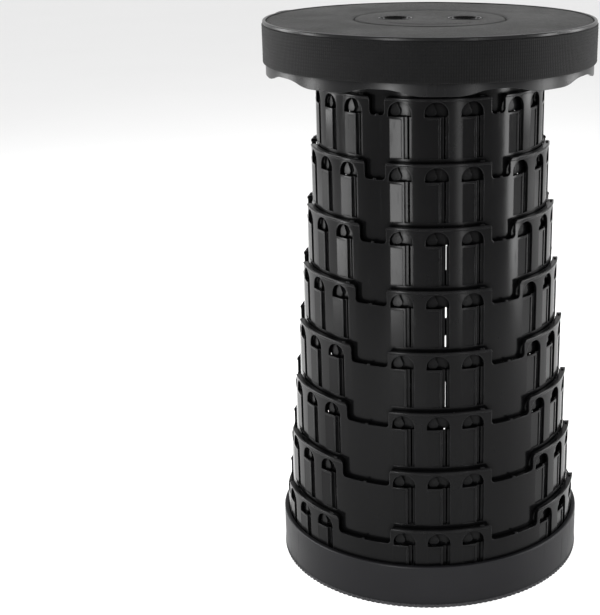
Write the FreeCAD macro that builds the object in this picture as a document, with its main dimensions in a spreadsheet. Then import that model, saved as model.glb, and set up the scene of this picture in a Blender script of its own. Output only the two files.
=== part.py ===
"""Telescoping camp stool: nested plastic rings between a round base and a padded, turning seat.

The origin is the centre of the base's underside, on the floor. +Z is up and -Y is the front of the stool,
opposite the carry handle. The stool stands fully extended. Lengths are millimetres, angles degrees.
"""

import FreeCAD, Part
import math
import os
from types import SimpleNamespace

import Sketcher

VECTOR = FreeCAD.Vector
Z_AXIS = VECTOR(0, 0, 1)
RING_COUNT = 8
MODULES = (-1, 0, 1)  # the three windows of one merlon, left to right
DEGREES = 180 / math.pi

DIMENSIONS = (
    ("stool_height", 428.0, "floor to the top of the seat"),
    ("ring_rise", 45.53, "how far each ring stands above the next"),
    ("ring_height", 59.0, "height of one ring"),
    ("ring_wall", 2.2, "wall of a ring"),
    ("first_ring_radius", 86.6, "outside of the top ring"),
    ("ring_radius_step", 4.4, "each lower ring is this much larger"),
    ("ring_floor_gap", 4.1, "floor to the underside of the lowest ring"),
    ("running_gap", 0.3, "clearance between pieces that move"),
    ("group_angle", 4.3, "turn of the merlons from the front towards +X"),
    ("sector_count", 6.0, "merlons round a ring"),
    ("module_width", 26.2, "one window with its pillar"),
    ("crenel_depth", 13.0, "gap between two merlons"),
    ("crenel_top_round", 2.5, "outer corner of a merlon"),
    ("crenel_low_round", 3.0, "inner corner of a gap"),
    ("niche_left", -10.4, "left side of a window from its module's middle"),
    ("niche_width", 17.0, "width of the arched window"),
    ("niche_top_gap", 2.7, "ring top to the crown of the arch"),
    ("shelf_depth", 13.4, "ring top to the shelf that the lug rests on"),
    ("groove_left", 1.1, "left side of the groove below the window"),
    ("groove_width", 5.5, "width of the groove"),
    ("groove_low", 16.0, "foot of the groove above the ring's lower edge"),
    ("slit_left", 3.4, "left side of the slit in the groove"),
    ("slit_width", 1.3, "width of the slit, which goes through the wall"),
    ("panel_depth", 0.5, "recess of the panels"),
    ("groove_depth", 1.6, "recess of the grooves beside the panels"),
    ("bead_proud", 0.5, "rounded bead along the top of a ring"),
    ("lug_offset", -5.7, "lug from its module's middle when locked"),
    ("lug_radius", 3.8, "round foot of the drop-shaped lug"),
    ("lug_height", 10.4, "height of the lug"),
    ("lug_proud", 1.9, "lug beyond the ring's outside"),
    ("collar_radius", 82.2, "outside of the plain collar under the seat"),
    ("collar_flange_radius", 72.0, "inside of the collar's flange"),
    ("flange_thickness", 2.2, "flange that the seat turns on"),
    ("seat_drop", 5.0, "seat top to the underside of its plate"),
    ("pad_thickness", 3.0, "padded cover on the plate"),
    ("pad_radius", 121.7, "edge of the padded cover"),
    ("seam_radius", 56.7, "seam between cover and centre disc"),
    ("skirt_radius", 123.0, "outside of the seat's skirt"),
    ("skirt_inner_radius", 121.5, "inside of the seat's skirt"),
    ("skirt_depth", 39.3, "seat top to the skirt's lobes"),
    ("scallop_depth", 4.3, "notches between the skirt's lobes"),
    ("scallop_count", 9.0, "lobes round the skirt"),
    ("lip_radius", 124.4, "outside of the rounded top lip"),
    ("finger_spacing", 25.9, "finger hole from the middle"),
    ("finger_radius", 10.6, "inside of a finger hole"),
    ("finger_depth", 20.0, "length of a finger sleeve"),
    ("clamp_inner_radius", 66.0, "inside of the clamp ring"),
    ("belt_radius", 125.0, "outside of the rim belt"),
    ("belt_top", -2.4, "upper edge of the belt from the seat top"),
    ("belt_low", -30.8, "lower edge of the belt from the seat top"),
    ("webbing", 1.6, "thickness of the webbing"),
    ("handle_half_width", 51.8, "outside of the handle's legs"),
    ("handle_leg", 133.4, "straight legs end here"),
    ("handle_top", -4.6, "upper edge of the handle's webbing"),
    ("handle_width", 22.0, "width of the handle's webbing"),
    ("handle_tab_angle", 34.0, "end of a handle tab from the back"),
    ("base_radius", 121.0, "outside of the base collar"),
    ("base_height", 34.0, "floor to the rim of the base"),
    ("base_wall", 1.4, "wall of the base collar"),
    ("foot_height", 2.6, "height of the rubber foot band"),
    ("foot_bed", 1.0, "rubber under the base"),
    ("foot_inner_radius", 108.0, "inside of the rubber foot"),
    ("foot_tooth", 0.7, "depth of a tooth on the rubber foot"),
)
FOOT_TEETH = 180


def text_of(item):
    return item.text if isinstance(item, Size) else repr(item)


def value_of(item):
    return item.value if isinstance(item, Size) else float(item)


class Size:
    """A number together with the sheet expression that it comes from."""

    def __init__(self, value, text):
        self.value = value
        self.text = text

    def __add__(self, other):
        return Size(self.value + value_of(other), f"({self.text} + {text_of(other)})")

    def __sub__(self, other):
        return Size(self.value - value_of(other), f"({self.text} - {text_of(other)})")

    def __mul__(self, other):
        return Size(self.value * value_of(other), f"({self.text} * {text_of(other)})")

    def __truediv__(self, other):
        return Size(self.value / value_of(other), f"({self.text} / {text_of(other)})")

    def __neg__(self):
        return self * -1

    def sine(self):
        return Size(math.sin(math.radians(self.value)), f"sin({self.text})")

    def cosine(self):
        return Size(math.cos(math.radians(self.value)), f"cos({self.text})")


def make_sheet(doc):
    """Write the driving dimensions and return them as sizes, one attribute each."""
    sheet = doc.addObject("Spreadsheet::Sheet", "Sheet")
    sizes = {}
    for row, (alias, value, note) in enumerate(DIMENSIONS, start=1):
        sheet.set(f"A{row}", note)
        sheet.set(f"B{row}", str(value))
        sheet.setAlias(f"B{row}", alias)
        sizes[alias] = Size(value, f"Sheet.{alias}")
    doc.recompute()
    return SimpleNamespace(**sizes)


DOC = FreeCAD.newDocument("camp_stool")
D = make_sheet(DOC)
NODES = []


# Helpers for bodies, sketches and features ------------------------------------------------------------


def bind(item, path, size):
    """Drive a property from the sheet, when the size comes from there."""
    if isinstance(size, Size):
        item.setExpression(path, size.text)


def place(item, height=0.0, angle=0.0):
    item.Placement = FreeCAD.Placement(VECTOR(0, 0, value_of(height)), FreeCAD.Rotation(Z_AXIS, value_of(angle)))
    bind(item, "Placement.Base.z", height)
    bind(item, "Placement.Rotation.Angle", angle)


def new_body(label, height=0.0, angle=0.0):
    body = DOC.addObject("PartDesign::Body", label)
    body.Label = label
    place(body, height, angle)
    NODES.append(body)
    return body


def origin_plane(body, role):
    return next(plane for plane in body.Origin.OriginFeatures if plane.Role == role)


def new_sketch(body, name, role="XZ_Plane", angle=0.0, distance=0.0):
    """A sketch on an origin plane. On XZ it may turn about Z and move outwards along its own normal."""
    sketch = body.newObject("Sketcher::SketchObject", name)
    sketch.AttachmentSupport = [(origin_plane(body, role), "")]
    sketch.MapMode = "FlatFace"
    if role == "XZ_Plane":
        turn = FreeCAD.Rotation(VECTOR(0, 1, 0), value_of(angle))
        shift = turn.multVec(VECTOR(0, 0, value_of(distance)))
        sketch.AttachmentOffset = FreeCAD.Placement(shift, turn)
        bind(sketch, "AttachmentOffset.Rotation.Angle", angle)
        if isinstance(angle, Size) and isinstance(distance, Size):
            bind(sketch, "AttachmentOffset.Base.x", distance * angle.sine())
            bind(sketch, "AttachmentOffset.Base.z", distance * angle.cosine())
        else:
            bind(sketch, "AttachmentOffset.Base.z", distance)
    else:
        sketch.AttachmentOffset = FreeCAD.Placement(VECTOR(0, 0, value_of(distance)), FreeCAD.Rotation())
        bind(sketch, "AttachmentOffset.Base.z", distance)
    return sketch


def constrain(sketch, *parts, size=None):
    """Add one constraint and drive it from the sheet when it has a size from there."""
    values = parts if size is None else (*parts, value_of(size))
    index = sketch.addConstraint(Sketcher.Constraint(*values))
    bind(sketch, f"Constraints[{index}]", size)


def fix_point(sketch, edge, end, point):
    """Hold one end of an edge at its place from the sketch's origin."""
    for kind, axis, value in (("DistanceX", -2, point[0]), ("DistanceY", -1, point[1])):
        if value_of(value) == 0:
            constrain(sketch, "PointOnObject", edge, end, axis)
        else:
            constrain(sketch, kind, -1, 1, edge, end, size=value)


def arc_between(start, stop, radius):
    """The short arc from start to stop, turning left for a positive radius."""
    half = (stop - start) * 0.5
    rise = math.sqrt(max(radius * radius - half.Length**2, 0.0))
    side = VECTOR(-half.y, half.x, 0).normalize() * math.copysign(rise, radius)
    centre = start + half + side
    first, last = (start, stop) if radius > 0 else (stop, start)
    angles = [math.atan2(point.y - centre.y, point.x - centre.x) for point in (first, last)]
    return Part.ArcOfCircle(Part.Circle(centre, Z_AXIS, abs(radius)), *angles)


def fix_arc(sketch, edge, radius):
    """Hold an arc whose ends are held: a half circle by its level centre, any other by its radius."""
    arc = sketch.Geometry[edge]
    if abs(arc.StartPoint.distanceToPoint(arc.EndPoint) - 2 * arc.Radius) < 0.001:
        constrain(sketch, "Horizontal", edge, 3, edge, 1)
    else:
        constrain(sketch, "Radius", edge, size=radius if value_of(radius) > 0 else radius * -1)


def draw_outline(sketch, points):
    """A closed outline. A third value makes the edge that leaves a point an arc of that radius, which
    turns left when it is positive and right when it is negative."""
    corners = [VECTOR(value_of(point[0]), value_of(point[1]), 0) for point in points]
    ends = []
    for index, point in enumerate(points):
        start, stop = corners[index], corners[(index + 1) % len(points)]
        radius = value_of(point[2]) if len(point) > 2 else 0.0
        if radius:
            edge = sketch.addGeometry(arc_between(start, stop, radius))
        else:
            edge = sketch.addGeometry(Part.LineSegment(start, stop))
        ends.append((edge, 2, 1) if radius < 0 else (edge, 1, 2))
    for index, (edge, start, stop) in enumerate(ends):
        after, after_start, _ = ends[(index + 1) % len(ends)]
        constrain(sketch, "Coincident", edge, stop, after, after_start)
    for (edge, start, _), point in zip(ends, points):
        fix_point(sketch, edge, start, point)
        if len(point) > 2:
            fix_arc(sketch, edge, point[2])


def draw_circle(sketch, x, y, radius):
    edge = sketch.addGeometry(Part.Circle(VECTOR(value_of(x), value_of(y), 0), Z_AXIS, value_of(radius)))
    fix_point(sketch, edge, 3, (x, y))
    constrain(sketch, "Radius", edge, size=radius)


def add_feature(body, kind, sketch, name, length, reverse=False):
    feature = body.newObject(f"PartDesign::{kind}", name)
    feature.Profile = sketch
    feature.Length = value_of(length)
    bind(feature, "Length", length)
    feature.Reversed = reverse
    return feature


def revolve(body, name, points, angle=360.0, start=0.0):
    """Turn an outline of radius and height about Z, from a start angle (from +X) towards +Y."""
    sketch = new_sketch(body, f"{name}_section", angle=start)
    draw_outline(sketch, points)
    feature = body.newObject("PartDesign::Revolution", name)
    feature.Profile = sketch
    feature.ReferenceAxis = (sketch, ["V_Axis"])
    feature.Angle = value_of(angle)
    bind(feature, "Angle", angle)
    return feature


def polar(body, name, originals, count, axis_sketch):
    pattern = body.newObject("PartDesign::PolarPattern", name)
    pattern.Originals = originals
    pattern.Axis = (axis_sketch, ["V_Axis"])
    pattern.Angle = 360
    pattern.Occurrences = int(value_of(count))
    bind(pattern, "Occurrences", count)
    body.Tip = pattern
    return pattern


def solid_of_revolution(points, centre, direction):
    """A turned fastener as a plain shape: its section of radius and height, stood along a direction."""
    wire = Part.makePolygon([VECTOR(x, 0, z) for x, z in points + points[:1]])
    shape = Part.Face(wire).revolve(VECTOR(0, 0, 0), Z_AXIS, 360)
    shape.Placement = FreeCAD.Placement(centre, FreeCAD.Rotation(Z_AXIS, direction))
    return shape


def new_group(label, shapes, height=0.0):
    """Identical small pieces in one node."""
    group = DOC.addObject("Part::Feature", label)
    group.Label = label
    group.Shape = Part.makeCompound(shapes) if len(shapes) > 1 else shapes[0]
    place(group, height)
    NODES.append(group)
    return group


def around(radius, angle, height=0.0):
    """A point at an angle that is measured in plan from +X towards +Y."""
    turn = math.radians(angle)
    return VECTOR(radius * math.cos(turn), radius * math.sin(turn), height)


# The telescoping rings --------------------------------------------------------------------------------


def ring_radius(number):
    return D.first_ring_radius + D.ring_radius_step * (number - 1)


def ring_section(radius):
    """The wall, with a bead outside its top and an inward lip that clears the next ring's bead."""
    top, bead = D.ring_height, D.bead_proud
    lip = radius - D.ring_radius_step + bead + D.running_gap
    inside = radius - D.ring_wall
    return (
        (radius, 0.0),
        (radius, top - 2.2),
        (radius + bead, top - 1.7),
        (radius + bead, top - 0.6),
        (radius - 0.1, top),
        (lip, top),
        (lip, top - 1.8),
        (inside, top - 2.4),
        (inside, 0.0),
    )


def cut_crenel(body, radius):
    """The gap between two merlons, with rounded corners and a small nub on its low edge."""
    half = (radius * (2 * math.pi) / D.sector_count - D.module_width * len(MODULES)) / 2
    top, low = D.ring_height, D.ring_height - D.crenel_depth
    outer, inner = D.crenel_top_round, D.crenel_low_round
    above, nub_half, nub = 2.0, 1.1, 1.0
    sketch = new_sketch(body, "crenel_outline", angle=180 / D.sector_count.value)
    draw_outline(
        sketch,
        (
            (-half - outer, top + above),
            (-half - outer, top, -outer),
            (-half, top - outer),
            (-half, low + inner, inner),
            (-half + inner, low),
            (-nub_half, low),
            (-nub_half, low + nub),
            (nub_half, low + nub),
            (nub_half, low),
            (half - inner, low, inner),
            (half, low + inner),
            (half, top - outer, -outer),
            (half + outer, top),
            (half + outer, top + above),
        ),
    )
    return add_feature(body, "Pocket", sketch, "crenel", radius + 5, reverse=True)


def add_crenel_lip(body, radius):
    """An inward lip along the low edge of a crenel, which closes the gap to the next ring."""
    half = (radius * (2 * math.pi) / D.sector_count - D.module_width * len(MODULES)) / 2
    low = D.ring_height - D.crenel_depth
    lip = radius - D.ring_radius_step + D.bead_proud + D.running_gap
    root, thick, past_corner = 1.0, 1.8, 1.0
    section = (
        (radius - root, low - 0.1),
        (lip, low - 0.1),
        (lip, low - thick),
        (radius - D.ring_wall, low - thick - 0.6),
        (radius - root, low - thick - 0.6),
    )
    angle = (half + past_corner) / radius * (2 * DEGREES)
    feature = revolve(body, "crenel_lip", section, angle, 180 / D.sector_count.value - 90)
    feature.Midplane = True
    return feature


def cut_window(body, radius, module):
    """The arched window and the slit that leads down from it, right through the wall."""
    left = D.niche_left
    right = D.niche_left + D.niche_width
    slit_right = D.slit_left + D.slit_width
    shoulder = D.ring_height - D.niche_top_gap - D.niche_width / 2
    shelf = D.ring_height - D.shelf_depth
    sketch = new_sketch(body, "window_outline", angle=D.module_width * module / radius * DEGREES)
    draw_outline(
        sketch,
        (
            (D.slit_left, D.groove_low),
            (slit_right, D.groove_low),
            (slit_right, shelf),
            (right, shelf),
            (right, shoulder, D.niche_width / 2),
            (left, shoulder),
            (left, shelf),
            (D.slit_left, shelf),
        ),
    )
    return add_feature(body, "Pocket", sketch, "window", radius + 5, reverse=True)


def cut_recess(body, radius, module, name, depth, left, right, high):
    """A shallow vertical recess in the outside of the wall, below the window."""
    angle = D.module_width * module / radius * DEGREES
    sketch = new_sketch(body, f"{name}_outline", angle=angle, distance=radius - depth)
    draw_outline(sketch, ((left, D.groove_low), (right, D.groove_low), (right, high), (left, high)))
    return add_feature(body, "Pocket", sketch, name, depth + 3, reverse=True)


def cut_panel(body, radius, module):
    """The panel below the window, and the deeper groove for the lug to its right."""
    rim, margin = 0.4, 1.6
    shelf = D.ring_height - D.shelf_depth
    left, right = D.niche_left + rim, D.groove_left - margin
    panel = cut_recess(body, radius, module, "panel", D.panel_depth, left, right, shelf - margin)
    left, right = D.groove_left, D.groove_left + D.groove_width
    groove = cut_recess(body, radius, module, "groove", D.groove_depth, left, right, shelf + 0.5)
    return [panel, groove]


def add_lug(body, radius, outer_radius, module):
    """A drop-shaped lug near the lower edge, which stands in the next ring's window."""
    root, tip, low = 0.8, 0.8, 0.2
    angle = (D.lug_offset + D.module_width * module) / outer_radius * DEGREES
    sketch = new_sketch(body, "lug_outline", angle=angle, distance=radius - root)
    middle, top = D.lug_radius + low, D.lug_height + low
    draw_outline(
        sketch,
        ((-D.lug_radius, middle, D.lug_radius), (D.lug_radius, middle), (tip, top), (-tip, top)),
    )
    return add_feature(body, "Pad", sketch, "lug", D.lug_proud + root)


def add_corner_nub(body, radius):
    """The small raised stop at the right end of a merlon's top."""
    width, depth, rise, inset = 3.2, 1.8, 0.9, 7.5
    angle = (D.module_width * len(MODULES) / 2 - inset) / radius * DEGREES
    sketch = new_sketch(body, "nub_outline", angle=angle, distance=radius - depth - 0.6)
    low, high = D.ring_height - 1.0, D.ring_height + rise
    draw_outline(sketch, ((-width / 2, low), (width / 2, low), (width / 2, high), (-width / 2, high)))
    return add_feature(body, "Pad", sketch, "nub", depth)


def make_ring(number):
    height = D.ring_floor_gap + D.ring_rise * (RING_COUNT - number)
    body = new_body(f"ring_{number}", height, D.group_angle)
    radius = ring_radius(number)
    wall = revolve(body, "wall", ring_section(radius))
    features = [cut_crenel(body, radius), add_crenel_lip(body, radius), add_corner_nub(body, radius)]
    for module in MODULES:
        features.append(cut_window(body, radius, module))
        features += cut_panel(body, radius, module)
        features.append(add_lug(body, radius, radius + D.ring_radius_step, module))
    polar(body, "round_the_ring", features, D.sector_count, wall.Profile[0])


def make_top_collar():
    """The plain innermost tube, which carries the seat on an inward flange."""
    height = D.ring_floor_gap + D.ring_rise * RING_COUNT
    top = D.stool_height - D.seat_drop - D.running_gap - height
    body = new_body("top_collar", height, D.group_angle)
    radius, inside = D.collar_radius, D.collar_radius - D.ring_wall
    under = top - D.flange_thickness
    wall = revolve(
        body,
        "wall",
        (
            (radius, 0.0),
            (radius, top),
            (D.collar_flange_radius, top),
            (D.collar_flange_radius, under),
            (inside, under),
            (inside, 0.0),
        ),
    )
    lugs = [add_lug(body, radius, ring_radius(1), module) for module in MODULES]
    polar(body, "round_the_collar", lugs, D.sector_count, wall.Profile[0])


# The base ---------------------------------------------------------------------------------------------


def make_base_shell():
    """A shallow tray: a smooth collar round the lowest ring, and a floor with ribs under it."""
    body = new_body("base_shell")
    outer, inside = D.base_radius, D.base_radius - D.base_wall
    step = D.base_radius - D.webbing - D.running_gap
    lip = ring_radius(RING_COUNT) + D.running_gap
    floor_top = D.ring_floor_gap - D.running_gap
    hole, round_edge, rim = 18.0, 1.2, 2.0
    top = D.base_height
    wall = revolve(
        body,
        "tray",
        (
            (hole, D.foot_bed),
            (step, D.foot_bed),
            (step, D.foot_height),
            (outer, D.foot_height),
            (outer, top - round_edge, round_edge),
            (outer - round_edge, top),
            (lip, top),
            (lip, top - rim),
            (inside, top - rim - 0.8),
            (inside, floor_top),
            (hole, floor_top),
        ),
    )
    ribs = new_sketch(body, "rib_outline", role="XY_Plane", distance=0.4)
    start, stop, half = 24.0, D.foot_inner_radius - 1.0, 0.9
    draw_outline(ribs, ((start, -half), (stop, -half), (stop, half), (start, half)))
    rib = add_feature(body, "Pad", ribs, "rib", D.foot_bed)
    polar(body, "ribs", [rib], 12, wall.Profile[0])


def make_anti_slip_ring():
    """The rubber foot: a flat bed under the base and a toothed band round its lower edge."""
    tip = D.base_radius.value + 0.3
    root = tip - D.foot_tooth.value
    step = 360 / FOOT_TEETH
    outline = []
    for tooth in range(FOOT_TEETH):
        start = tooth * step
        outline.append(around(root, start))
        outline.append(around(tip, start + 0.15 * step))
        outline.append(around(tip, start + 0.60 * step))
        outline.append(around(root, start + 0.75 * step))
    outline.append(outline[0])
    band = Part.Face(Part.makePolygon(outline)).extrude(VECTOR(0, 0, D.foot_height.value - 0.1))
    bore = D.base_radius.value - D.webbing.value - 0.25
    upper = Part.makeCylinder(bore, D.foot_height.value, VECTOR(0, 0, D.foot_bed.value))
    lower = Part.makeCylinder(D.foot_inner_radius.value, D.foot_height.value)
    new_group("anti_slip_ring", [band.cut(upper).cut(lower)])


# The seat, with heights measured down from its top -----------------------------------------------------


def cut_scallops(body):
    """The notches between the lobes of the skirt's lower edge. One lobe is a little right of the front."""
    lobe_from_front, narrow, wide = 3.2, 4.0, 32.0
    low, high = -D.skirt_depth, -D.skirt_depth + D.scallop_depth
    middle, half_way = (narrow + wide) / 2, -D.skirt_depth + D.scallop_depth / 2
    run, rise = (wide - narrow) / 2, D.scallop_depth / 2
    bend = (rise * rise + run * run) / (rise * 2)
    sketch = new_sketch(body, "scallop_outline", angle=lobe_from_front + 180 / D.scallop_count.value)
    draw_outline(
        sketch,
        (
            (-wide - 3, low - 2),
            (wide + 3, low - 2),
            (wide + 3, low),
            (wide, low, -bend),
            (middle, half_way, bend),
            (narrow, high),
            (-narrow, high, bend),
            (-middle, half_way, -bend),
            (-wide, low),
            (-wide - 3, low),
        ),
    )
    return add_feature(body, "Pocket", sketch, "scallop", D.skirt_radius + 5, reverse=True)


def make_seat_shell():
    """The plate with its rounded top lip and the scalloped skirt, ribbed underneath."""
    body = new_body("seat_shell", D.stool_height)
    plate_top, plate_low, skirt_low = -D.pad_thickness, -D.seat_drop, -D.skirt_depth
    lip, inner_lip, lip_round = D.lip_radius, D.pad_radius + 0.2, 1.1
    shell = revolve(
        body,
        "shell",
        (
            (0.0, plate_low),
            (D.skirt_inner_radius, plate_low),
            (D.skirt_inner_radius, skirt_low),
            (D.skirt_radius, skirt_low),
            (D.skirt_radius, D.belt_top + 0.1),
            (lip, D.belt_top + 0.1),
            (lip, -lip_round, lip_round),
            (lip - lip_round, 0.0),
            (inner_lip + 0.5, 0.0),
            (inner_lip, -0.5),
            (inner_lip, plate_top),
            (0.0, plate_top),
        ),
    )
    polar(body, "scallops", [cut_scallops(body)], D.scallop_count, shell.Profile[0])
    holes = new_sketch(body, "finger_outline", role="XY_Plane")
    for side in (-1, 1):
        draw_circle(holes, D.finger_spacing * side, 0.0, D.finger_radius + 1.5)
    add_feature(body, "Pocket", holes, "finger_holes", D.seat_drop + 2)
    ribs = new_sketch(body, "rib_outline", role="XY_Plane", distance=-D.seat_drop - 5)
    half, start, stop = 0.9, 42.0, D.clamp_inner_radius - 1.0
    draw_outline(ribs, ((start, -half), (stop, -half), (stop, half), (start, half)))
    rib = add_feature(body, "Pad", ribs, "rib", 5.5)
    polar(body, "ribs", [rib], 12, shell.Profile[0])


def make_pad(label, inner, outer, with_holes):
    """A padded leather-look cover, rounded at its upper edges."""
    body = new_body(label, D.stool_height)
    low, edge = -D.pad_thickness, 1.0
    points = [(inner, low), (outer, low), (outer, -edge, edge), (outer - edge, 0.0)]
    if value_of(inner):
        points += [(inner + edge, 0.0, edge), (inner, -edge)]
    else:
        points += [(inner, 0.0)]
    revolve(body, "cover", tuple(points))
    if with_holes:
        holes = new_sketch(body, "finger_outline", role="XY_Plane", distance=1.0)
        for side in (-1, 1):
            draw_circle(holes, D.finger_spacing * side, 0.0, D.finger_radius + 2.6)
        add_feature(body, "Pocket", holes, "finger_holes", D.pad_thickness + 2)


def make_finger_cup(label, side):
    """A glossy sleeve with a bevelled flange, open right through."""
    body = new_body(label, D.stool_height)
    inner, sleeve, flange = D.finger_radius, D.finger_radius + 1.3, D.finger_radius + 2.4
    revolve(
        body,
        "sleeve",
        (
            (inner, -D.finger_depth),
            (sleeve, -D.finger_depth),
            (sleeve, -D.pad_thickness + 0.1),
            (flange, -D.pad_thickness + 0.1),
            (flange, -0.5),
            (flange - 0.5, 0.0),
            (inner + 1.2, 0.0),
            (inner, -2.4),
        ),
    )
    body.Placement.Base.x = side * D.finger_spacing.value
    bind(body, "Placement.Base.x", D.finger_spacing * side)


def make_clamp_ring():
    """The ring under the seat plate that holds the collar's flange and lets the seat turn on it."""
    body = new_body("clamp_ring", D.stool_height)
    top = -D.seat_drop
    under = top - D.running_gap * 2 - D.flange_thickness
    inner, riser = D.clamp_inner_radius, D.collar_flange_radius - D.running_gap
    outer = D.collar_radius - D.ring_wall - D.running_gap
    revolve(
        body,
        "ring",
        ((inner, under - 2.2), (outer, under - 2.2), (outer, under), (riser, under), (riser, top), (inner, top)),
    )


def make_clamp_screws():
    """Six pan-head screws up through the clamp ring into the seat plate."""
    head, shank, head_rise = 3.0, 1.3, 1.8
    seat = D.seat_drop.value + D.running_gap.value * 2 + D.flange_thickness.value + 2.2
    length = seat - D.seat_drop.value + 1.6
    section = [(0, -head_rise), (head * 0.7, -head_rise), (head, -head_rise * 0.5), (head, 0), (shank, 0)]
    section += [(shank, length - 0.8), (0, length)]
    middle = (D.clamp_inner_radius.value + D.collar_flange_radius.value) / 2
    screws = [solid_of_revolution(section, around(middle, 30 + 60 * place_, -seat), 0) for place_ in range(6)]
    new_group("clamp_screws", screws, D.stool_height)


# Belt, handle and their fittings -----------------------------------------------------------------------


def make_strip(label, inner, outer, low, high, start, sweep):
    """A curved strip of webbing from a start angle, measured in plan from +X towards +Y."""
    body = new_body(label, D.stool_height, start)
    revolve(body, "strip", ((inner, low), (outer, low), (outer, high), (inner, high)), sweep)


def make_belt_pieces():
    """The rim belt from tab to tab round the front, its overlapping end and the tail at the buckle."""
    skin = D.skirt_radius + 0.05
    belt = D.belt_radius
    bare = D.handle_tab_angle.value + 0.6
    make_strip("rim_belt", skin, belt, D.belt_low, D.belt_top, 90 + bare, 360 - 2 * bare)
    make_strip("belt_end", belt + 0.05, belt + D.webbing, D.belt_low + 0.6, D.belt_top - 0.6, 18.0, 14.0)
    make_strip("belt_tail", belt + 4.6, belt + 4.6 + D.webbing, D.belt_low + 4, D.belt_top + 0.4, 139.0, 26.0)


def make_buckle():
    """The flat slider with three bars that the belt's tail runs through."""
    body = new_body("belt_buckle", D.stool_height, 152.0 + 90.0)
    width, gap, bar = 26.0, 6.6, 3.2
    low, high = D.belt_low - 0.8, D.belt_top + 1.6
    sketch = new_sketch(body, "frame_outline", distance=D.belt_radius + 0.6)
    corner, half = 2.0, width / 2
    draw_outline(
        sketch,
        (
            (-half + corner, low),
            (half - corner, low, corner),
            (half, low + corner),
            (half, high - corner, corner),
            (half - corner, high),
            (-half + corner, high, corner),
            (-half, high - corner),
            (-half, low + corner, corner),
        ),
    )
    add_feature(body, "Pad", sketch, "frame", 3.0)
    slots = new_sketch(body, "slot_outline", distance=D.belt_radius - 1.0)
    for left in (-bar / 2 - gap, bar / 2):
        draw_outline(
            slots,
            ((left, low + bar), (left + gap, low + bar), (left + gap, high - bar), (left, high - bar)),
        )
    add_feature(body, "Pocket", slots, "slots", 8.0, reverse=True)


def make_carry_handle():
    """The webbing loop at the back: tabs on the rim, two legs and a round bow, standing on edge."""
    body = new_body("carry_handle", D.stool_height)
    half, thick, leg = D.handle_half_width, D.webbing, D.handle_leg
    inner_rim = D.skirt_radius + 0.05
    outer_rim = D.skirt_radius + 0.05 + D.webbing
    foot_out = math.sqrt(outer_rim.value**2 - half.value**2)
    foot_in = math.sqrt(inner_rim.value**2 - (half - thick).value ** 2)
    tab = D.handle_tab_angle
    tab_out = (outer_rim * tab.sine(), outer_rim * tab.cosine())
    tab_in = (inner_rim * tab.sine(), inner_rim * tab.cosine())
    sketch = new_sketch(body, "plan_outline", role="XY_Plane", distance=D.handle_top - D.handle_width)
    draw_outline(
        sketch,
        (
            (tab_out[0], tab_out[1], outer_rim),
            (half, foot_out),
            (half, leg, half),
            (-half, leg),
            (-half, foot_out, outer_rim),
            (-tab_out[0], tab_out[1]),
            (-tab_in[0], tab_in[1], -inner_rim),
            (-half + thick, foot_in),
            (-half + thick, leg, -(half - thick)),
            (half - thick, leg),
            (half - thick, foot_in, -inner_rim),
            (tab_in[0], tab_in[1]),
        ),
    )
    add_feature(body, "Pad", sketch, "webbing", D.handle_width)


def rivet_angles():
    """Two rivets side by side through each tab, in plan from +X towards +Y."""
    return [90 + side * from_back for side in (-1, 1) for from_back in (27.4, 31.2)]


def radial_pieces(section, start_radius, height):
    """Turned pieces that point outwards from the seat's axis, one at each rivet."""
    pieces = []
    for angle in rivet_angles():
        piece = solid_of_revolution(section, VECTOR(0, 0, 0), 0)
        upright = FreeCAD.Rotation(VECTOR(0, 1, 0), 90)
        turn = FreeCAD.Rotation(Z_AXIS, angle)
        piece.Placement = FreeCAD.Placement(around(start_radius, angle, height), turn.multiply(upright))
        pieces.append(piece)
    return pieces


def make_rivets():
    """Domed rivets through the handle's tabs and the skirt, with washers on the inside."""
    shank, head, crown = 1.4, 3.1, 1.1
    middle = D.handle_top.value - D.handle_width.value / 2
    washer, clear_of_curve = 0.6, 0.12
    inside = D.skirt_inner_radius.value - clear_of_curve
    outside = D.skirt_radius.value + 0.05 + D.webbing.value
    length = outside - inside + washer + 0.4
    section = [(0, 0), (shank, 0), (shank, length), (head, length), (head, length + 0.3)]
    section += [(head * 0.6, length + crown * 0.85), (0, length + crown)]
    new_group("handle_rivets", radial_pieces(section, inside - washer - 0.4, middle), D.stool_height)
    ring = [(shank + 0.05, 0), (head, 0), (head, washer), (shank + 0.05, washer)]
    new_group("rivet_washers", radial_pieces(ring, inside - washer, middle), D.stool_height)


# Build, check and write --------------------------------------------------------------------------------


def build():
    make_base_shell()
    make_anti_slip_ring()
    for number in range(RING_COUNT, 0, -1):
        make_ring(number)
    make_top_collar()
    make_seat_shell()
    make_pad("seat_pad", D.seam_radius + 0.3, D.pad_radius, with_holes=False)
    make_pad("centre_pad", 0.0, D.seam_radius - 0.3, with_holes=True)
    make_finger_cup("finger_cup_left", -1)
    make_finger_cup("finger_cup_right", 1)
    make_clamp_ring()
    make_clamp_screws()
    make_belt_pieces()
    make_buckle()
    make_carry_handle()
    make_rivets()
    DOC.recompute()


def check():
    """Stop before writing anything if an object failed or a shape isn't sound."""
    for item in DOC.Objects:
        if "Invalid" in item.State or "Error" in item.State:
            raise RuntimeError(f"{item.Name} in {item.Label} failed: {item.State}")
    for node in NODES:
        if node.Shape.isNull() or not node.Shape.isValid():
            raise RuntimeError(f"{node.Label} has no sound shape")
        if node.isDerivedFrom("PartDesign::Body") and len(node.Shape.Solids) != 1:
            raise RuntimeError(f"{node.Label} is {len(node.Shape.Solids)} solids")


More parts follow.
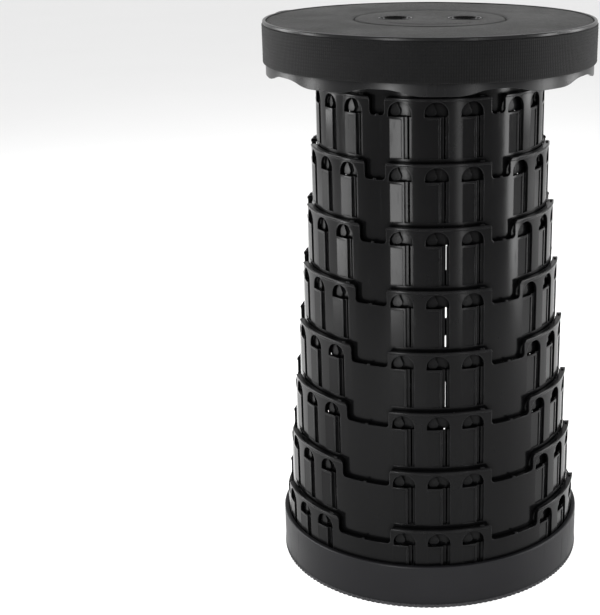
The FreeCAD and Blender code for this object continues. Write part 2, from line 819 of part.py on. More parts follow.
def write():
    os.makedirs("parts", exist_ok=True)
    for node in NODES:
        node.Shape.exportStep(os.path.join("parts", f"{node.Label}.step"))
        box = node.Shape.BoundBox
        print(f"{node.Label}: {node.Shape.Volume:.0f} mm3, z {box.ZMin:.2f} to {box.ZMax:.2f}")


build()
check()
write()
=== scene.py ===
import math

import bpy
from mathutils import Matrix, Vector, noise
from mathutils.geometry import delaunay_2d_cdt


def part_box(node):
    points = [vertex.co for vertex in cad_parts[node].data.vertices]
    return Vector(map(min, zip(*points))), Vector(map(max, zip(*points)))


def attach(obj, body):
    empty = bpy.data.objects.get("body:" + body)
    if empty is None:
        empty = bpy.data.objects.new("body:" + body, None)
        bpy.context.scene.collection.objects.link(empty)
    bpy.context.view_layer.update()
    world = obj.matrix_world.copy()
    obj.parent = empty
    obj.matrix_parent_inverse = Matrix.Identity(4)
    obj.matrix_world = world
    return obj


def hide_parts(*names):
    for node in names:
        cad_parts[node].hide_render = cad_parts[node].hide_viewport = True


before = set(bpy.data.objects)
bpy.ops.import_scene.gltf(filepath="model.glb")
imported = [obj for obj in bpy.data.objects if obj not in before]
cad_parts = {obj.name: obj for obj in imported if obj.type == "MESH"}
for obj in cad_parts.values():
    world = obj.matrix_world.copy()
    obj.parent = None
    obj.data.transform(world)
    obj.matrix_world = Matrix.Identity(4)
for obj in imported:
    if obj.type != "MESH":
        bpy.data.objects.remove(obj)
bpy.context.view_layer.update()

# Looks of the telescoping camp stool. Metres, +Z up, the front of the stool is -Y and its handle is at +Y.

MM = 0.001
FULL_TURN = 2 * math.pi

# Places and sizes that come from the frame
_, SEAT_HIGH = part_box("seat_shell")
PAD_LOW, PAD_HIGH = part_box("seat_pad")
_, DISC_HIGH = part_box("centre_pad")
BELT_LOW, BELT_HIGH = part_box("rim_belt")
HANDLE_LOW, HANDLE_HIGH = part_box("carry_handle")
RIVET_LOW, RIVET_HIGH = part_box("handle_rivets")
CUP_LOW, CUP_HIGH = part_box("finger_cup_right")
BUCKLE_LOW, BUCKLE_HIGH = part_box("belt_buckle")

SEAT_TOP = SEAT_HIGH.z
PAD_RADIUS = PAD_HIGH.x
PAD_EDGE_TOP = SEAT_TOP - 0.5 * MM
DISC_RADIUS = DISC_HIGH.x
BELT_RADIUS = -BELT_LOW.y
CUP_SPACING = (CUP_LOW.x + CUP_HIGH.x) / 2
CUP_RADIUS = (CUP_HIGH.x - CUP_LOW.x) / 2

# Sizes of the skirt and webbing in metres, and angles round the rim in degrees
SKIRT_RADIUS = 123.05 * MM
WEBBING = 1.6 * MM
RIB_PITCH = 2.4 * MM
THREAD_PITCH = 1.75 * MM
TAB_ANGLE = 34.0
HANDLE_HALF = 51.0 * MM
HANDLE_LEG = 133.4 * MM
BUCKLE_ANGLE = 152.0
TAIL_HALF_ANGLE = 13.5
BELT_END_START, BELT_END_SPAN = 18.0, 14.0
RIVET_ANGLES = (27.4, 31.2)


# Building meshes ----------------------------------------------------------------------------------------


def new_object(name, vertices, faces, uvs=None, smooth=True):
    """A mesh object. uvs holds one pair for each corner of each face, in metres."""
    mesh = bpy.data.meshes.new(name)
    mesh.from_pydata([tuple(vertex) for vertex in vertices], [], faces)
    if uvs:
        layer = mesh.uv_layers.new(name="weave")
        layer.data.foreach_set("uv", [value for pair in uvs for value in pair])
    mesh.polygons.foreach_set("use_smooth", [smooth] * len(mesh.polygons))
    mesh.validate()
    mesh.update()
    item = bpy.data.objects.new(name, mesh)
    bpy.context.scene.collection.objects.link(item)
    return item


def skin(name, rows, closed_rows, capped, uv_of=None):
    """A surface through rows of points, each row a closed loop, joined round when closed_rows is true."""
    count, size = len(rows), len(rows[0])
    vertices = [point for row in rows for point in row]
    faces, uvs = [], []
    for row in range(count if closed_rows else count - 1):
        after = (row + 1) % count
        for step in range(size):
            other = (step + 1) % size
            faces.append((row * size + step, row * size + other, after * size + other, after * size + step))
            if uv_of:
                uvs += [uv_of(row, step), uv_of(row, step + 1)]
                uvs += [uv_of(row + 1, step + 1), uv_of(row + 1, step)]
    if capped and not closed_rows:
        first = tuple(reversed(range(size)))
        last = tuple(range((count - 1) * size, count * size))
        faces += [first, last]
        if uv_of:
            uvs += [uv_of(0, step) for step in first] + [uv_of(count - 1, step % size) for step in last]
    return new_object(name, vertices, faces, uvs or None)


def lathe(name, section, steps, wobble):
    """A turned piece. section is a closed loop of (radius, height); wobble moves each point."""
    rows = []
    for step in range(steps):
        turn = step * FULL_TURN / steps
        row = []
        for radius, height in section:
            point = Vector((radius * math.cos(turn), radius * math.sin(turn), height))
            row.append(wobble(point))
        rows.append(row)
    return skin(name, rows, closed_rows=True, capped=False)


def round_corner(centre, radius, start, stop, steps=5):
    """Points of an arc in a section, angles in degrees."""
    points = []
    for step in range(steps + 1):
        turn = math.radians(start + (stop - start) * step / steps)
        points.append((centre[0] + radius * math.cos(turn), centre[1] + radius * math.sin(turn)))
    return points


def subdivide(item, levels=1):
    """A subdivision modifier, the same in view and render."""
    modifier = item.modifiers.new("smooth", "SUBSURF")
    modifier.levels = levels
    modifier.render_levels = levels


def bend_noise(point, scale, seed):
    """Smooth noise at a point, moved by a seed so that each use differs."""
    return noise.noise(Vector(point) * scale + Vector((seed, seed * 2.3, seed * 0.7)))


# Building materials --------------------------------------------------------------------------------------


class Graph:
    """A small helper round one material's nodes."""

    def __init__(self, name):
        self.material = bpy.data.materials.new(name)
        self.material.use_nodes = True
        self.tree = self.material.node_tree
        self.shader = next(node for node in self.tree.nodes if node.type == "BSDF_PRINCIPLED")

    def add(self, kind, **settings):
        node = self.tree.nodes.new(kind)
        for key, value in settings.items():
            if hasattr(node, key):
                setattr(node, key, value)
            else:
                node.inputs[key.replace("_", " ")].default_value = value
        return node

    def link(self, source, target):
        self.tree.links.new(source, target)

    def noise(self, vector, scale, detail=4.0, roughness=0.55):
        node = self.add("ShaderNodeTexNoise", Scale=scale, Detail=detail, Roughness=roughness)
        self.link(vector, node.inputs["Vector"])
        return node.outputs["Fac"]

    def remap(self, value, low, high, new_low, new_high):
        node = self.add("ShaderNodeMapRange")
        for key, number in (("From Min", low), ("From Max", high), ("To Min", new_low), ("To Max", new_high)):
            node.inputs[key].default_value = number
        self.link(value, node.inputs["Value"])
        return node.outputs["Result"]

    def math(self, operation, first, second):
        node = self.add("ShaderNodeMath", operation=operation)
        for index, item in enumerate((first, second)):
            if isinstance(item, (int, float)):
                node.inputs[index].default_value = item
            else:
                self.link(item, node.inputs[index])
        return node.outputs["Value"]

    def mix(self, factor, first, second):
        """Mix two colours; each is a socket or a triple."""
        node = self.add("ShaderNodeMix", data_type="RGBA")
        self.link(factor, node.inputs["Factor"])
        for socket, item in ((node.inputs[6], first), (node.inputs[7], second)):
            if isinstance(item, tuple):
                socket.default_value = (*item, 1.0)
            else:
                self.link(item, socket)
        return node.outputs[2]

    def bump(self, height, strength, distance, normal=None):
        node = self.add("ShaderNodeBump", Strength=strength, Distance=distance)
        self.link(height, node.inputs["Height"])
        if normal:
            self.link(normal, node.inputs["Normal"])
        return node.outputs["Normal"]

    def set(self, **values):
        for key, value in values.items():
            self.shader.inputs[key.replace("_", " ")].default_value = value


def place_of(graph):
    """Object coordinates, in metres."""
    return graph.add("ShaderNodeTexCoord").outputs["Object"]


def edge_wear(graph, radius, place):
    """(rounded normal, worn-edge mask) from the difference between the rounded and the true normal."""
    bevel = graph.add("ShaderNodeBevel", samples=4, Radius=radius)
    geometry = graph.add("ShaderNodeNewGeometry")
    dot = graph.add("ShaderNodeVectorMath", operation="DOT_PRODUCT")
    graph.link(bevel.outputs["Normal"], dot.inputs[0])
    graph.link(geometry.outputs["Normal"], dot.inputs[1])
    edge = graph.remap(dot.outputs["Value"], 0.75, 0.99, 1.0, 0.0)
    patchy = graph.remap(graph.noise(place, 90.0), 0.35, 0.7, 0.1, 1.0)
    return bevel.outputs["Normal"], graph.math("MULTIPLY", edge, patchy)


# Reach and strength of the painted shade that darkens recesses.
PAINTED_SHADE_REACH, PAINTED_SHADE_POWER = 4.5 * MM, 1.5


def painted_recess_shade(graph, reach, power):
    """Painted shade for recesses: how open a spot is, from 1 on a free face down to 0 deep in a groove, from
    an occlusion node.
    """
    painted_shade_occlusion = graph.add("ShaderNodeAmbientOcclusion", samples=6, Distance=reach)
    return graph.math("POWER", painted_shade_occlusion.outputs["AO"], power)


def plastic(name, colour, worn, roughness, grain_scale, grain, specular=0.5, radius=0.4 * MM):
    """Moulded plastic: fine grain, cloudy gloss, faint scuffs, paler worn edges, and painted shade that
    darkens colour and reflection in recesses.
    """
    graph = Graph(name)
    place = place_of(graph)
    normal, wear = edge_wear(graph, radius, place)
    clouds = graph.noise(place, 14.0, detail=5.0)
    tone = graph.mix(graph.remap(clouds, 0.3, 0.7, 0.0, 1.0), colour, tuple(c * 1.35 for c in colour))
    painted_shade_openness = painted_recess_shade(graph, PAINTED_SHADE_REACH, PAINTED_SHADE_POWER)
    # Painted shade: closed-in spots are mixed towards a quarter of the colour, and their reflection is turned
    # down with them.
    dull = tuple(c * 0.25 for c in colour)
    graph.link(graph.mix(painted_shade_openness, dull, graph.mix(wear, tone, worn)), graph.shader.inputs["Base Color"])
    graph.link(graph.math("MULTIPLY", painted_shade_openness, specular), graph.shader.inputs["Specular IOR Level"])
    stretched = graph.add("ShaderNodeMapping", Scale=(240.0, 240.0, 26.0))
    graph.link(place, stretched.inputs["Vector"])
    scuffs = graph.remap(graph.noise(stretched.outputs["Vector"], 1.0, detail=3.0), 0.62, 0.78, 0.0, 0.16)
    gloss = graph.remap(clouds, 0.3, 0.7, roughness * 0.85, roughness * 1.2)
    rough = graph.math("ADD", graph.math("ADD", gloss, scuffs), graph.math("MULTIPLY", wear, 0.12))
    graph.link(rough, graph.shader.inputs["Roughness"])
    fine = graph.noise(place, grain_scale, detail=3.0)
    swell = graph.noise(place, 55.0, detail=2.0)
    height = graph.math("ADD", graph.math("MULTIPLY", fine, grain), graph.math("MULTIPLY", swell, 0.35))
    graph.link(graph.bump(height, 0.25, 0.12 * MM, normal), graph.shader.inputs["Normal"])
    return graph.material


def leather(name, colour, pale):
    """Grained leather-look cover: small uneven cells with creases between them."""
    graph = Graph(name)
    place = place_of(graph)
    warp = graph.noise(place, 160.0, detail=2.0)
    shifted = graph.add("ShaderNodeVectorMath", operation="MULTIPLY_ADD")
    graph.link(warp, shifted.inputs[0])
    shifted.inputs[1].default_value = (0.0022, 0.0022, 0.0022)
    graph.link(place, shifted.inputs[2])
    cells = graph.add("ShaderNodeTexVoronoi", feature="DISTANCE_TO_EDGE", Scale=620.0)
    graph.link(shifted.outputs["Vector"], cells.inputs["Vector"])
    crease = graph.remap(cells.outputs["Distance"], 0.0, 0.22, 0.0, 1.0)
    pores = graph.noise(place, 1500.0, detail=2.0)
    patches = graph.noise(place, 22.0, detail=5.0)
    tone = graph.mix(graph.remap(patches, 0.3, 0.7, 0.0, 1.0), colour, pale)
    # Painted shade: the creases between grain cells are mixed part way towards a darker grey.
    graph.link(graph.mix(graph.remap(crease, 0.0, 1.0, 0.55, 0.0), tone, (0.008, 0.008, 0.008)),
               graph.shader.inputs["Base Color"])
    graph.link(graph.remap(patches, 0.3, 0.7, 0.46, 0.6), graph.shader.inputs["Roughness"])
    height = graph.math("ADD", crease, graph.math("MULTIPLY", pores, 0.35))
    graph.link(graph.bump(height, 0.8, 0.26 * MM), graph.shader.inputs["Normal"])
    graph.set(Specular_IOR_Level=0.07, Sheen_Weight=0.03, Sheen_Roughness=0.45)
    return graph.material


def weave(name, colour, pale):
    """Ribbed webbing: short cross threads on every rib, a little fuzz, and painted shade that leaves the
    hollows dark and the rib tops paler, varied by patchy wear.
    """
    graph = Graph(name)
    place = place_of(graph)
    uv = graph.add("ShaderNodeUVMap", uv_map="weave")
    parts = graph.add("ShaderNodeSeparateXYZ")
    graph.link(uv.outputs["UV"], parts.inputs["Vector"])
    along, over = parts.outputs["X"], parts.outputs["Y"]
    thread = graph.math("MULTIPLY", along, math.pi / THREAD_PITCH)
    stitch = graph.math("ABSOLUTE", graph.math("SINE", thread, 0.0), 0.0)
    rib_wave = graph.math("MULTIPLY", over, math.pi / RIB_PITCH)
    rib = graph.math("ABSOLUTE", graph.math("SINE", rib_wave, 0.0), 0.0)
    raised = graph.math("MULTIPLY", graph.math("POWER", stitch, 0.5), graph.math("POWER", rib, 0.4))
    fuzz = graph.noise(place, 2600.0, detail=2.0)
    worn = graph.noise(place, 35.0, detail=4.0)
    # Painted shade: the hollows between threads keep the dark colour and the raised tops go paler, more so
    # where the wear noise is high.
    high = graph.math("MULTIPLY", raised, graph.remap(worn, 0.3, 0.7, 0.35, 1.0))
    graph.link(graph.mix(high, colour, pale), graph.shader.inputs["Base Color"])
    graph.link(graph.remap(fuzz, 0.3, 0.7, 0.62, 0.85), graph.shader.inputs["Roughness"])
    height = graph.math("ADD", raised, graph.math("MULTIPLY", fuzz, 0.3))
    graph.link(graph.bump(height, 0.8, 0.28 * MM), graph.shader.inputs["Normal"])
    graph.set(Specular_IOR_Level=0.08, Sheen_Weight=0.04, Sheen_Roughness=0.4)
    return graph.material


def rubber(name, colour):
    """Matt rubber: dusty patches, paler worn edges and a fine grain."""
    graph = Graph(name)
    place = place_of(graph)
    normal, wear = edge_wear(graph, 0.3 * MM, place)
    dust = graph.remap(graph.noise(place, 30.0, detail=6.0), 0.4, 0.7, 0.0, 0.6)
    tone = graph.mix(dust, colour, tuple(c * 2.2 for c in colour))
    graph.link(graph.mix(wear, tone, (0.06, 0.06, 0.06)), graph.shader.inputs["Base Color"])
    graph.link(graph.remap(graph.noise(place, 200.0), 0.3, 0.7, 0.6, 0.8), graph.shader.inputs["Roughness"])
    graph.link(graph.bump(graph.noise(place, 900.0), 0.3, 0.1 * MM, normal), graph.shader.inputs["Normal"])
    graph.set(Specular_IOR_Level=0.3)
    return graph.material


def metal(name, colour, roughness):
    """Plated steel with fine scratches and slightly dulled patches."""
    graph = Graph(name)
    place = place_of(graph)
    dull = graph.noise(place, 260.0, detail=4.0)
    graph.link(graph.mix(dull, colour, tuple(c * 0.7 for c in colour)), graph.shader.inputs["Base Color"])
    graph.link(graph.remap(dull, 0.3, 0.7, roughness, roughness * 2), graph.shader.inputs["Roughness"])
    stretched = graph.add("ShaderNodeMapping", Scale=(3000.0, 3000.0, 300.0))
    graph.link(place, stretched.inputs["Vector"])
    scratches = graph.noise(stretched.outputs["Vector"], 1.0)
    graph.link(graph.bump(scratches, 0.15, 0.05 * MM), graph.shader.inputs["Normal"])
    graph.set(Metallic=1.0)
    return graph.material


RING_GLOSS = plastic("ring gloss", (0.0016, 0.0016, 0.0017), (0.03, 0.03, 0.031), 0.17, 700.0, 0.3,
                     specular=0.075, radius=0.8 * MM)
BASE_SATIN = plastic("base satin", (0.0045, 0.0045, 0.0051), (0.04, 0.04, 0.043), 0.40, 1600.0, 1.0,
                     specular=0.1)
SHELL_SATIN = plastic("shell satin", (0.0025, 0.0025, 0.0027), (0.035, 0.035, 0.035), 0.27, 1200.0, 0.6,
                      specular=0.14)
CUP_GLOSS = plastic("cup gloss", (0.0015, 0.0015, 0.0015), (0.01, 0.01, 0.01), 0.24, 900.0, 0.2,
                  specular=0.08)
BUCKLE_PLASTIC = plastic("buckle plastic", (0.005, 0.005, 0.005), (0.04, 0.04, 0.04), 0.34, 1500.0, 0.8,
                         specular=0.25)
COVER = leather("cover leather", (0.0088, 0.0086, 0.0083), (0.0140, 0.0137, 0.0132))
WEAVE = weave("belt weave", (0.0004, 0.0004, 0.00045), (0.0028, 0.0028, 0.003))
RUBBER = rubber("foot rubber", (0.012, 0.012, 0.013))
RIVET_STEEL = metal("rivet steel", (0.42, 0.415, 0.40), 0.2)
SCREW_STEEL = metal("screw steel", (0.3, 0.3, 0.31), 0.28)


def dress(node, material):
    """Give a carried-over CAD node its material."""
    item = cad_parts[node]
    item.data.materials.clear()
    item.data.materials.append(material)


def finish_piece(item, material, body="seat"):
    """Give a piece its material and slot, and the body it moves with."""
    item.data.materials.append(material)
    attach(item, body)


# The plastic and rubber CAD nodes --------------------------------------------------------------------------

for number in range(1, 9):
    dress(f"ring_{number}", RING_GLOSS)
dress("top_collar", RING_GLOSS)
dress("base_shell", BASE_SATIN)
dress("clamp_ring", BASE_SATIN)
dress("seat_shell", SHELL_SATIN)
dress("anti_slip_ring", RUBBER)
dress("finger_cup_left", CUP_GLOSS)
dress("finger_cup_right", CUP_GLOSS)
dress("clamp_screws", SCREW_STEEL)
dress("rivet_washers", SCREW_STEEL)


# The padded covers -----------------------------------------------------------------------------------------


def cover_wobble(point):
    """Soft unevenness of foam under the cover, only on its upper side."""
    lift = max(0.0, (point.z - PAD_LOW.z) / (SEAT_TOP - PAD_LOW.z))
    wave = bend_noise(point, 26.0, 3.0) * 0.28 + bend_noise(point, 70.0, 9.0) * 0.10
    return point + Vector((0, 0, wave * MM * lift))


def crown_points(inner, outer, crown, count):
    """The upper side of a pad between two radii, inner first, gently crowned."""
    points = []
    for step in range(count + 1):
        share = step / count
        rise = crown * math.sin(math.pi * share) ** 0.6
        points.append((inner + (outer - inner) * share, PAD_EDGE_TOP + rise))
    return points


def make_seat_cover():
    """The padded ring: rolled outer edge, crowned top and a pulled-in seam round the centre disc."""
    edge, seam = 1.3 * MM, 1.9 * MM
    inner, outer = DISC_RADIUS + 0.3 * MM, PAD_RADIUS
    section = [(inner, PAD_LOW.z + 0.1 * MM), (outer - 0.4 * MM, PAD_LOW.z + 0.1 * MM)]
    section += round_corner((outer - edge, PAD_EDGE_TOP - edge), edge, 0, 80, 5)
    section += reversed(crown_points(inner + seam, outer - edge, 0.75 * MM, 36)[1:-1])
    section += round_corner((inner + seam, SEAT_TOP - 0.7 * MM - seam), seam, 95, 180, 5)
    item = lathe("seat_cover", section, 256, cover_wobble)
    finish_piece(item, COVER)
    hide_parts("seat_pad")


ARC_RADIUS = 44.0 * MM
HOLE_RIM = CUP_RADIUS + 0.15 * MM
HOLE_MARGIN = 3.6 * MM
DISC_STEPS = 260
HOLE_STEPS = 88


def disc_height(x, y):
    """Upper side of the centre disc: a slight crown, a pressed arc near the front and dips at the holes."""
    radius = math.hypot(x, y)
    height = 0.5 * MM * (1 - (radius / DISC_RADIUS) ** 4)
    arc_half, groove = math.radians(47), 0.5 * MM
    from_front = abs(math.atan2(x, -y))
    fade = max(0.0, min(1.0, (arc_half - from_front) / math.radians(9)))
    height -= groove * fade * math.exp(-(((radius - ARC_RADIUS) / (0.7 * MM)) ** 2))
    for side in (-1, 1):
        away = max(0.0, math.hypot(x - side * CUP_SPACING, y) - HOLE_RIM)
        height -= 0.5 * MM * math.exp(-away / (2.4 * MM)) + 0.3 * MM * math.exp(-away / (0.45 * MM))
    height += 0.2 * MM * bend_noise((x, y, 0), 30.0, 5.0)
    rolled = max(0.0, radius - (DISC_RADIUS - 1.9 * MM)) / (1.9 * MM)
    return height - 1.3 * MM * rolled**2


def circle(centre, radius, count):
    """Plan points of a circle whose centre is on the X axis."""
    turns = [step * FULL_TURN / count for step in range(count)]
    return [Vector((centre + radius * math.cos(turn), radius * math.sin(turn))) for turn in turns]


def disc_fill():
    """Plan points inside the disc: rings close together at its rim, its arc and its holes."""
    points = []
    radius = 0.8 * MM
    while radius < DISC_RADIUS - 0.3 * MM:
        fine = abs(radius - ARC_RADIUS) < 2.2 * MM or DISC_RADIUS - radius < 2.4 * MM
        ring = circle(0.0, radius, max(8, round(FULL_TURN * radius / (1.3 * MM))))
        points += [
            point
            for point in ring
            if all(
                math.hypot(point.x - side * CUP_SPACING, point.y) > HOLE_RIM + HOLE_MARGIN for side in (-1, 1)
            )
        ]
        radius += 0.4 * MM if fine else 1.2 * MM
    for side in (-1, 1):
        for away in (0.4, 0.9, 1.6, 2.6):
            points += circle(side * CUP_SPACING, HOLE_RIM + away * MM, HOLE_STEPS)
    return points


def in_hole(corners):
    """True for a face that lies over one of the two holes."""
    middle = sum(corners, Vector((0.0, 0.0))) / len(corners)
    return any(math.hypot(middle.x - side * CUP_SPACING, middle.y) < HOLE_RIM for side in (-1, 1))


def make_centre_cover():
    """The disc in the middle, with two holes and a rolled rim."""
    points, edges = [], []
    outlines = (
        (0.0, DISC_RADIUS, DISC_STEPS),
        (CUP_SPACING, HOLE_RIM, HOLE_STEPS),
        (-CUP_SPACING, HOLE_RIM, HOLE_STEPS),
    )
    for centre, radius, count in outlines:
        start = len(points)
        points += circle(centre, radius, count)
        edges += [(start + step, start + (step + 1) % count) for step in range(count)]
    inside_rim = 1
    flat, _, faces, *_ = delaunay_2d_cdt(points + disc_fill(), edges, [], inside_rim, 1e-7)
    faces = [face for face in faces if not in_hole([flat[corner] for corner in face])]
    vertices = [Vector((x, y, SEAT_TOP - 0.35 * MM + disc_height(x, y))) for x, y in flat]
    item = new_object("centre_cover", vertices, faces)
    thick = item.modifiers.new("thickness", "SOLIDIFY")
    thick.thickness = 2.0 * MM
    thick.offset = -1.0
    finish_piece(item, COVER)
    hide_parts("centre_pad")


make_seat_cover()
make_centre_cover()


# Webbing ---------------------------------------------------------------------------------------------------


def webbing_section(low, high, thickness):
    """A closed loop of (outward, height): ribbed outside, ribbed inside, rounded selvedges."""
    per_rib, depth = 6, 0.22 * MM
    count = max(2, round((high - low) / RIB_PITCH)) * per_rib
    outside, inside = [], []
    for step in range(count + 1):
        share = step / count
        rib = abs(math.sin(math.pi * share * count / per_rib)) ** 0.6
        selvedge = min(1.0, min(share, 1 - share) * (high - low) / (0.9 * MM))
        half = thickness / 2 * math.sqrt(max(0.05, 1 - (1 - selvedge) ** 2))
        height = low + (high - low) * share
        outside.append((half - depth * (1 - rib), height))
        inside.append((-half + depth * 0.6 * (1 - rib), height))
    return outside + inside[::-1]


def sweep_webbing(name, path, section, lift=None, lean=None):
    """Webbing on edge along a plan path of (x, y), its outside to the right of the path's direction."""
    rows, lengths, travelled = [], [], 0.0
    for index, point in enumerate(path):
        before = path[max(0, index - 1)]
        after = path[min(len(path) - 1, index + 1)]
        along = Vector((after[0] - before[0], after[1] - before[1], 0)).normalized()
        out = Vector((along.y, -along.x, 0))
        travelled += math.dist(before, point) if index else 0.0
        lengths.append(travelled)
        share = index / (len(path) - 1)
        up = lift(share) if lift else 0.0
        tilt = lean(share) if lean else 0.0
        middle = (section[0][1] + section[len(section) // 2 - 1][1]) / 2
        row = []
        for outward, height in section:
            ripple = bend_noise((point[0], point[1], height), 60.0, 2.0) * 0.12 * MM
            shift = outward + ripple + tilt * (height - middle)
            row.append(Vector((point[0], point[1], 0)) + out * shift + Vector((0, 0, height + up)))
        rows.append(row)

    def uv_of(row, step):
        height = section[step % len(section)][1]
        return lengths[min(row, len(lengths) - 1)], height - section[0][1]

    return skin(name, rows, closed_rows=False, capped=True, uv_of=uv_of)


def rim_path(radius, start, stop, pitch=2.0 * MM):
    """Plan points on a circle, from a start to a stop angle in degrees, clockwise when stop is less."""
    count = max(4, round(math.radians(abs(stop - start)) * radius / pitch))
    points = []
    for step in range(count + 1):
        turn = math.radians(start + (stop - start) * step / count)
        points.append((radius * math.cos(turn), radius * math.sin(turn)))
    return points


def make_rim_belt():
    """The belt round the rim, open at the back where the handle's tabs lie."""
    bare = TAB_ANGLE + 0.6
    section = webbing_section(BELT_LOW.z, BELT_HIGH.z, BELT_RADIUS - SKIRT_RADIUS)
    middle = (BELT_RADIUS + SKIRT_RADIUS) / 2
    path = rim_path(middle, 90 + bare, 450 - bare)
    item = sweep_webbing("belt_webbing", path, section, lift=lambda s: 0.25 * MM * math.sin(s * 17.0))
    finish_piece(item, WEAVE)
    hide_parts("rim_belt")


def make_belt_end():
    """The overlapping end of the belt, with a cut edge that lifts a little."""
    section = webbing_section(BELT_LOW.z + 0.6 * MM, BELT_HIGH.z - 0.5 * MM, WEBBING)
    base = BELT_RADIUS + WEBBING / 2 + 0.1 * MM
    count = 40
    path = []
    for step in range(count + 1):
        share = step / count
        turn = math.radians(BELT_END_START + BELT_END_SPAN * share)
        radius = base + 1.1 * MM * max(0.0, 0.2 - share) ** 2 * 25
        path.append((radius * math.cos(turn), radius * math.sin(turn)))
    item = sweep_webbing("belt_overlap", path, section)
    finish_piece(item, WEAVE)
    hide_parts("belt_end")


def make_belt_tail():
    """The strap's tail: out of the belt, over the slider's middle bar and back to the belt."""
    section = webbing_section(BELT_LOW.z + 3.5 * MM, BELT_HIGH.z + 0.2 * MM, WEBBING)
    count = 90
    path = []
    for step in range(count + 1):
        share = step / count
        turn = math.radians(BUCKLE_ANGLE - TAIL_HALF_ANGLE + 2 * TAIL_HALF_ANGLE * share)
        over = math.sin(math.pi * share) ** 1.4
        radius = BELT_RADIUS + WEBBING / 2 + 0.3 * MM + 5.2 * MM * over
        path.append((radius * math.cos(turn), radius * math.sin(turn)))
    item = sweep_webbing("strap_tail", path, section, lift=lambda s: 1.2 * MM * math.sin(math.pi * s))
    finish_piece(item, WEAVE)
    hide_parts("belt_tail")


def handle_path():
    """The handle's line in plan: a tab, a leg that leaves the rim in a small bend, the bow, and back."""
    rim = SKIRT_RADIUS + WEBBING / 2 + 0.05 * MM
    leave = math.degrees(math.asin(HANDLE_HALF / rim))
    right = rim_path(rim, 90 - TAB_ANGLE, 90 - leave - 2.6, 1.2 * MM)
    start = Vector(right[-1])
    leg_end = Vector((HANDLE_HALF, HANDLE_LEG))
    corner = Vector((rim * math.sin(math.radians(leave)), rim * math.cos(math.radians(leave))))
    bend = []
    for step in range(1, 12):
        share = step / 12
        top = corner + Vector((0, 5.5 * MM))
        first, second = start.lerp(corner, share), corner.lerp(top, share)
        bend.append(tuple(first.lerp(second, share)))
    leg = [tuple(Vector(bend[-1]).lerp(leg_end, step / 8)) for step in range(1, 8)]
    height = HANDLE_HIGH.y - WEBBING - HANDLE_LEG
    bow = []
    for step in range(0, 61):
        turn = math.pi / 2 * step / 60
        bow.append((HANDLE_HALF * math.cos(turn), HANDLE_LEG + height * math.sin(turn)))
    half = right + bend + leg + bow
    return half + [(-x, y) for x, y in reversed(half[:-1])]


def make_handle():
    """The carrying handle, which sags and leans a little."""
    section = webbing_section(HANDLE_LOW.z, HANDLE_HIGH.z, WEBBING)
    path = handle_path()
    item = sweep_webbing(
        "handle_webbing",
        path,
        section,
        lift=lambda s: -0.9 * MM * math.sin(math.pi * s) ** 2,
        lean=lambda s: 0.05 * math.sin(FULL_TURN * s) * math.sin(math.pi * s),
    )
    finish_piece(item, WEAVE)
    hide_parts("carry_handle")


make_rim_belt()
make_belt_end()
make_belt_tail()
make_handle()


# Buckle and rivets -----------------------------------------------------------------------------------------


def bar_loop(points, radius, sides=10):
    """Rows of a round bar along points that form a closed loop."""
    rows = []
    count = len(points)
    for index, point in enumerate(points):
        along = (points[(index + 1) % count] - points[index - 1]).normalized()
        side = along.cross(Vector((0, 1, 0))).normalized()
        up = side.cross(along)
        row = []
        for step in range(sides):
            turn = step * FULL_TURN / sides
            row.append(point + side * radius * math.cos(turn) + up * radius * math.sin(turn) * 0.8)
        rows.append(row)
    return rows


def make_buckle():
    """The slider: a rounded frame with a ribbed middle bar, gently curved to the rim."""
    half_wide, half_tall, corner, bar = 11.6 * MM, 14.0 * MM, 3.0 * MM, 1.45 * MM
    height = (BUCKLE_LOW.z + BUCKLE_HIGH.z) / 2
    loop = []
    for x, z, start in ((1, 1, 0), (-1, 1, 90), (-1, -1, 180), (1, -1, 270)):
        for step in range(7):
            turn = math.radians(start + 15 * step)
            loop.append(Vector((
                x * (half_wide - corner) + corner * math.cos(turn),
                0,
                z * (half_tall - corner) + corner * math.sin(turn),
            )))
    frame_bar = skin("belt_slider", bar_loop(loop, bar), closed_rows=True, capped=False)
    middle_rows = []
    for step in range(29):
        z = -half_tall + bar + (2 * half_tall - 2 * bar) * step / 28
        swell = 1.0 + 0.12 * math.cos(step * math.pi)
        row = []
        for side in range(10):
            turn = side * FULL_TURN / 10
            row.append(Vector((bar * 1.1 * swell * math.cos(turn), bar * 0.8 * math.sin(turn), z)))
        middle_rows.append(row)
    middle = skin("slider_bar", middle_rows, closed_rows=False, capped=True)
    turn = math.radians(BUCKLE_ANGLE)
    out = BELT_RADIUS + 2.2 * MM
    for item in (frame_bar, middle):
        for vertex in item.data.vertices:
            across, outward, up = vertex.co
            outward += out - across * across / (2 * BELT_RADIUS)
            vertex.co = (
                outward * math.cos(turn) - across * math.sin(turn),
                outward * math.sin(turn) + across * math.cos(turn),
                up + height,
            )
        subdivide(item)
        finish_piece(item, BUCKLE_PLASTIC)
    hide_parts("belt_buckle")


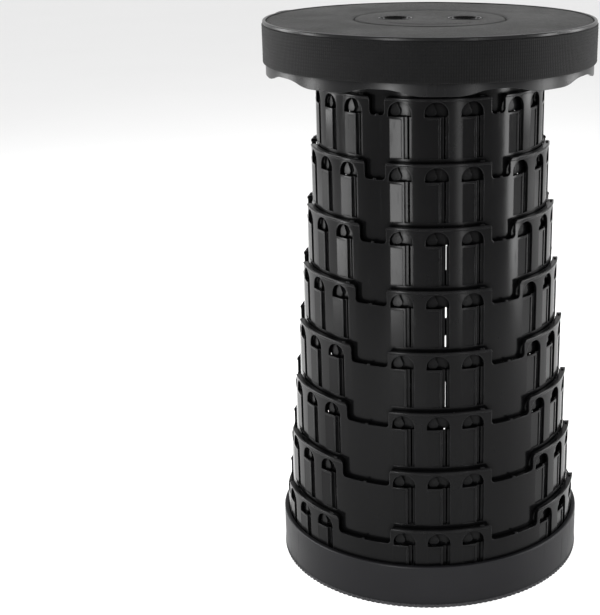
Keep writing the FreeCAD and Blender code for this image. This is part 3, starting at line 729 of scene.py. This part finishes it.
def make_rivets():
    """Four domed rivet heads with a rolled rim, each pressed into the webbing."""
    height = (RIVET_LOW.z + RIVET_HIGH.z) / 2
    surface = SKIRT_RADIUS + WEBBING - 0.1 * MM
    section = [(0.35, 1.15), (1.3, 1.02), (2.1, 0.72), (2.6, 0.38), (2.9, 0.42), (3.1, 0.2), (3.05, -0.3)]
    steps = 40
    index = 0
    for side in (-1, 1):
        for from_back in RIVET_ANGLES:
            index += 1
            turn = math.radians(90 + side * from_back)
            out = Vector((math.cos(turn), math.sin(turn), 0))
            across = Vector((-out.y, out.x, 0))
            rows = []
            for radius, rise in section:
                row = []
                for step in range(steps):
                    angle = step * FULL_TURN / steps
                    offset = across * math.cos(angle) + Vector((0, 0, 1)) * math.sin(angle)
                    middle = out * (surface + rise * MM) + Vector((0, 0, height))
                    row.append(middle + offset * radius * MM)
                rows.append(row)
            item = skin(f"rivet_head_{index}", rows, closed_rows=False, capped=True)
            finish_piece(item, RIVET_STEEL)
            if index == 1:
                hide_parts("handle_rivets")


make_buckle()
make_rivets()


# Floor, lights and camera ---------------------------------------------------------------------------------


CAMERA_PLACE = (0.0, -1.005, 0.5325)
CAMERA_DOWN = 18.29
CAMERA_LENS, CAMERA_SENSOR = 77.5, 36.0
CAMERA_SHIFT = -0.2114


def make_floor():
    """A plain pale floor at the height the stool stands on."""
    size = 6.0
    corners = [(-size, -size, 0), (size, -size, 0), (size, size, 0), (-size, size, 0)]
    floor = new_object("floor", corners, [(0, 1, 2, 3)], smooth=False)
    graph = Graph("pale floor")
    place = place_of(graph)
    tone = graph.mix(graph.noise(place, 3.0), (0.80, 0.80, 0.80), (0.82, 0.82, 0.82))
    graph.link(tone, graph.shader.inputs["Base Color"])
    graph.set(Roughness=0.8, Specular_IOR_Level=0.1)
    floor.data.materials.append(graph.material)


def make_light(name, place, aim, wide, tall, power):
    """A soft rectangular light that the camera doesn't see."""
    data = bpy.data.lights.new(name, "AREA")
    data.shape = "RECTANGLE"
    data.size = wide
    data.size_y = tall
    data.energy = power
    lamp = bpy.data.objects.new(name, data)
    lamp.location = place
    lamp.visible_camera = False
    lamp.rotation_mode = "QUATERNION"
    lamp.rotation_quaternion = (Vector(aim) - Vector(place)).to_track_quat("-Z", "Y")
    bpy.context.scene.collection.objects.link(lamp)


def make_world():
    """An even white surround."""
    world = bpy.data.worlds.new("studio")
    world.use_nodes = True
    background = world.node_tree.nodes["Background"]
    background.inputs["Color"].default_value = (1.0, 1.0, 1.0, 1.0)
    background.inputs["Strength"].default_value = 1.0
    bpy.context.scene.world = world
    bpy.context.scene.view_settings.view_transform = "Standard"


def make_camera():
    """A slightly raised view from the front, shifted so that the stool stands to the right."""
    data = bpy.data.cameras.new("camera")
    data.lens = CAMERA_LENS
    data.sensor_width = CAMERA_SENSOR
    data.shift_x = CAMERA_SHIFT
    camera = bpy.data.objects.new("camera", data)
    camera.location = CAMERA_PLACE
    camera.rotation_euler = (math.radians(90 - CAMERA_DOWN), 0.0, 0.0)
    bpy.context.scene.collection.objects.link(camera)
    bpy.context.scene.camera = camera


MIDDLE = (0.0, 0.0, 0.22)
make_floor()
make_world()
make_light("top softbox", (0.0, 0.1, 2.1), MIDDLE, 1.8, 1.8, 8.0)
make_light("key strip", (-0.31, -0.69, 0.3), MIDDLE, 0.09, 0.6, 5.5)
make_light("right fill strip", (0.34, -0.66, 0.3), MIDDLE, 0.06, 0.6, 1.4)
make_light("left strip", (-0.8, -0.12, 0.32), MIDDLE, 0.12, 0.64, 5.0)
make_light("right strip", (0.8, -0.14, 0.32), MIDDLE, 0.14, 0.64, 6.0)
make_light("left rim", (-1.3, 0.5, 0.7), MIDDLE, 0.35, 1.3, 18.0)
make_light("right rim", (1.3, 0.5, 0.75), MIDDLE, 0.35, 1.4, 18.0)
make_camera()
